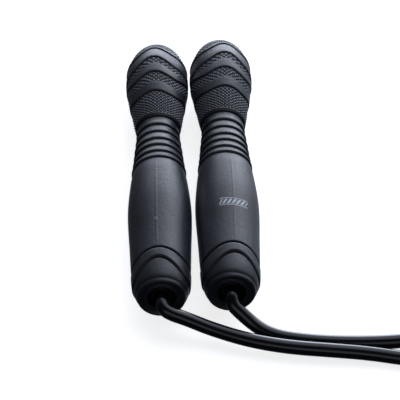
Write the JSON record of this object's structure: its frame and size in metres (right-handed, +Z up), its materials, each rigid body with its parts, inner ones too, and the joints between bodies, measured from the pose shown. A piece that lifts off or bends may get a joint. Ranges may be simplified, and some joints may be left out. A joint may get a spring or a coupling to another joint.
{
  "type": "jump rope",
  "caption": "Jump rope: two moulded bulb-ended handles that spin on ball bearings at the ends of one round plastic cord, lying side by side with the spare cord coiled and tied.",
  "frame": {"origin": "on the floor, under the middle of the box around the two handles", "axes": "+Z up, +Y along the handles from their mouths to their bulb ends, +X to the right handle and the coil"},
  "size_m": [0.2616, 0.2397, 0.034],
  "materials": {
    "grip_pvc": "satin, smooth bands and fine knurling",
    "core_nylon": "moulded",
    "spring_steel": "oiled",
    "bearing_steel": "ground",
    "ball_steel": "polished",
    "cage_nylon": "moulded",
    "shield_steel": "stamped",
    "sleeve_acetal": "turned",
    "ferrule_aluminium": "crimped",
    "cord_pvc": "glossy extruded",
    "tie_webbing": "woven hook and loop"
  },
  "bodies": {
    "rope": {"left_cord_end": "cord_pvc", "right_cord_end": "cord_pvc", "left_cord_lead": "cord_pvc", "right_cord_lead": "cord_pvc", "cord_coil": "cord_pvc", "coil_tie": "tie_webbing", "left_swivel_sleeve": "sleeve_acetal", "left_thrust_washer": "spring_steel", "left_cord_ferrule": "ferrule_aluminium", "left_bearing_inner_race": "bearing_steel", "right_swivel_sleeve": "sleeve_acetal", "right_thrust_washer": "spring_steel", "right_cord_ferrule": "ferrule_aluminium", "right_bearing_inner_race": "bearing_steel"},
    "left_handle": {"left_grip": "grip_pvc", "left_core_tube": "core_nylon", "left_end_plug": "core_nylon", "left_circlip": "spring_steel", "left_bearing_outer_race": "bearing_steel", "left_bearing_front_shield": "shield_steel", "left_bearing_rear_shield": "shield_steel"},
    "left_ball_set": {"left_bearing_balls": "ball_steel", "left_bearing_cage": "cage_nylon"},
    "right_handle": {"right_grip": "grip_pvc", "right_core_tube": "core_nylon", "right_end_plug": "core_nylon", "right_circlip": "spring_steel", "right_bearing_outer_race": "bearing_steel", "right_bearing_front_shield": "shield_steel", "right_bearing_rear_shield": "shield_steel"},
    "right_ball_set": {"right_bearing_balls": "ball_steel", "right_bearing_cage": "cage_nylon"}
  },
  "joints": [
    {"name": "left_handle_spin", "type": "hinge", "parent": "rope", "child": "left_handle", "pos_m": [-0.01785, -0.099, 0.01701], "axis": [0.0038, 1, 0], "continuous": true},
    {"name": "left_ball_set_spin", "type": "hinge", "parent": "rope", "child": "left_ball_set", "pos_m": [-0.01785, -0.099, 0.01701], "axis": [0.0038, 1, 0], "continuous": true},
    {"name": "right_handle_spin", "type": "hinge", "parent": "rope", "child": "right_handle", "pos_m": [0.01785, -0.096, 0.01701], "axis": [-0.0038, 1, 0], "continuous": true},
    {"name": "right_ball_set_spin", "type": "hinge", "parent": "rope", "child": "right_ball_set", "pos_m": [0.01785, -0.096, 0.01701], "axis": [-0.0038, 1, 0], "continuous": true}
  ],
  "couplings": [
    {"joint": "left_ball_set_spin", "follows": "left_handle_spin", "ratio": 0.5702},
    {"joint": "right_ball_set_spin", "follows": "right_handle_spin", "ratio": 0.5702}
  ]
}
